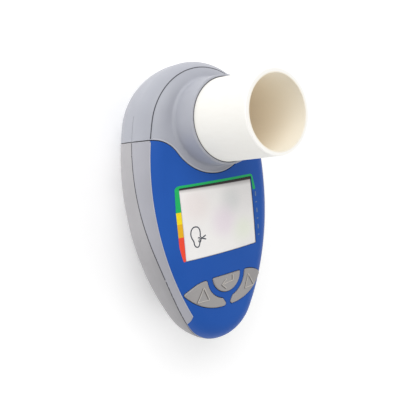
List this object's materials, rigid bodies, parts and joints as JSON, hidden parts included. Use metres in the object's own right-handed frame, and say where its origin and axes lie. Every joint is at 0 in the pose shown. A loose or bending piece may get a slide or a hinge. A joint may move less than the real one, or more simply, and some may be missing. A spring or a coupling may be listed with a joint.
{
  "type": "lung function monitor",
  "caption": "Hand-held lung function monitor with an egg-shaped body, a slide-off turbine flow head, a white mouthpiece tube, a display window and curved keys.",
  "frame": {"origin": "centre of the outline in plan, on the plane of the flat back", "axes": "+X to the right seen from the front with the head up, +Y along the body towards the head, +Z out of the front face along the mouthpiece"},
  "size_m": [0.0618, 0.1128, 0.074],
  "materials": {
    "fascia_blue": "satin moulded plastic, mid blue",
    "shell_grey": "fine satin moulded plastic, cool light grey",
    "shell_grey_warm": "fine satin moulded plastic, light grey",
    "head_grey": "fine satin moulded plastic, cool light grey",
    "clear_tube": "clear moulded plastic",
    "inner_white": "white moulded plastic",
    "bearing_ceramic": "polished hard bearing cup",
    "vane_black": "thin black plastic",
    "steel": "bright plated steel",
    "seal_rubber": "soft dark rubber",
    "mouthpiece_white": "smooth off-white plastic",
    "window_clear": "clear flat window",
    "lcd_glass": "pale grey liquid crystal glass",
    "key_grey": "satin taupe grey plastic",
    "board_green": "green circuit board",
    "chip_black": "black moulded package",
    "lamp_clear": "clear lamp package",
    "brass": "plain brass",
    "cell_jacket": "plain printed metal jacket, no lettering"
  },
  "bodies": {
    "handset": {"front_fascia": "fascia_blue", "middle_frame": "shell_grey", "rear_shell": "shell_grey_warm", "display_window": "window_clear", "lcd_panel": "lcd_glass", "lcd_holder": "inner_white", "lcd_contact_strips": "seal_rubber", "key_domes": "steel", "main_board": "board_green", "processor_chip": "chip_black", "clock_crystal": "steel", "buzzer": "brass", "infrared_emitter": "lamp_clear", "infrared_receiver": "chip_black", "battery_left": "cell_jacket", "battery_right": "cell_jacket", "battery_springs": "steel", "battery_contacts": "steel", "body_screws": "steel"},
    "battery_door": {"battery_door": "shell_grey_warm"},
    "flow_head": {"head_front_cover": "head_grey", "head_rear_housing": "head_grey", "flow_tube": "clear_tube", "front_stator": "inner_white", "rear_stator": "inner_white", "front_bearing": "bearing_ceramic", "rear_bearing": "bearing_ceramic", "exhaust_grille": "head_grey", "tube_seal": "seal_rubber", "head_screws": "steel"},
    "rotor": {"rotor_vane": "vane_black", "rotor_shaft": "steel"},
    "mouthpiece": {"mouthpiece": "mouthpiece_white"},
    "left_key": {"left_key": "key_grey"},
    "enter_key": {"enter_key": "key_grey"},
    "right_key": {"right_key": "key_grey"}
  },
  "joints": [
    {"name": "head_slide", "type": "slide", "parent": "handset", "child": "flow_head", "axis": [0, 1, 0], "range_m": [0, 0.026]},
    {"name": "mouthpiece_slide", "type": "slide", "parent": "flow_head", "child": "mouthpiece", "axis": [0, 0, 1], "range_m": [0, 0.013]},
    {"name": "rotor_spin", "type": "hinge", "parent": "flow_head", "child": "rotor", "pos_m": [0, 0.0323, 0.02035], "axis": [0, 0, 1], "continuous": true},
    {"name": "left_key_press", "type": "slide", "parent": "handset", "child": "left_key", "axis": [0, 0, -1], "range_m": [0, 0.0008], "stiffness_N_per_m": 400, "springref_m": -0.001},
    {"name": "enter_key_press", "type": "slide", "parent": "handset", "child": "enter_key", "axis": [0, 0, -1], "range_m": [0, 0.0008], "stiffness_N_per_m": 400, "springref_m": -0.001},
    {"name": "right_key_press", "type": "slide", "parent": "handset", "child": "right_key", "axis": [0, 0, -1], "range_m": [0, 0.0008], "stiffness_N_per_m": 400, "springref_m": -0.001},
    {"name": "door_slide", "type": "slide", "parent": "handset", "child": "battery_door", "axis": [0, -1, 0], "range_m": [0, 0.046]}
  ]
}
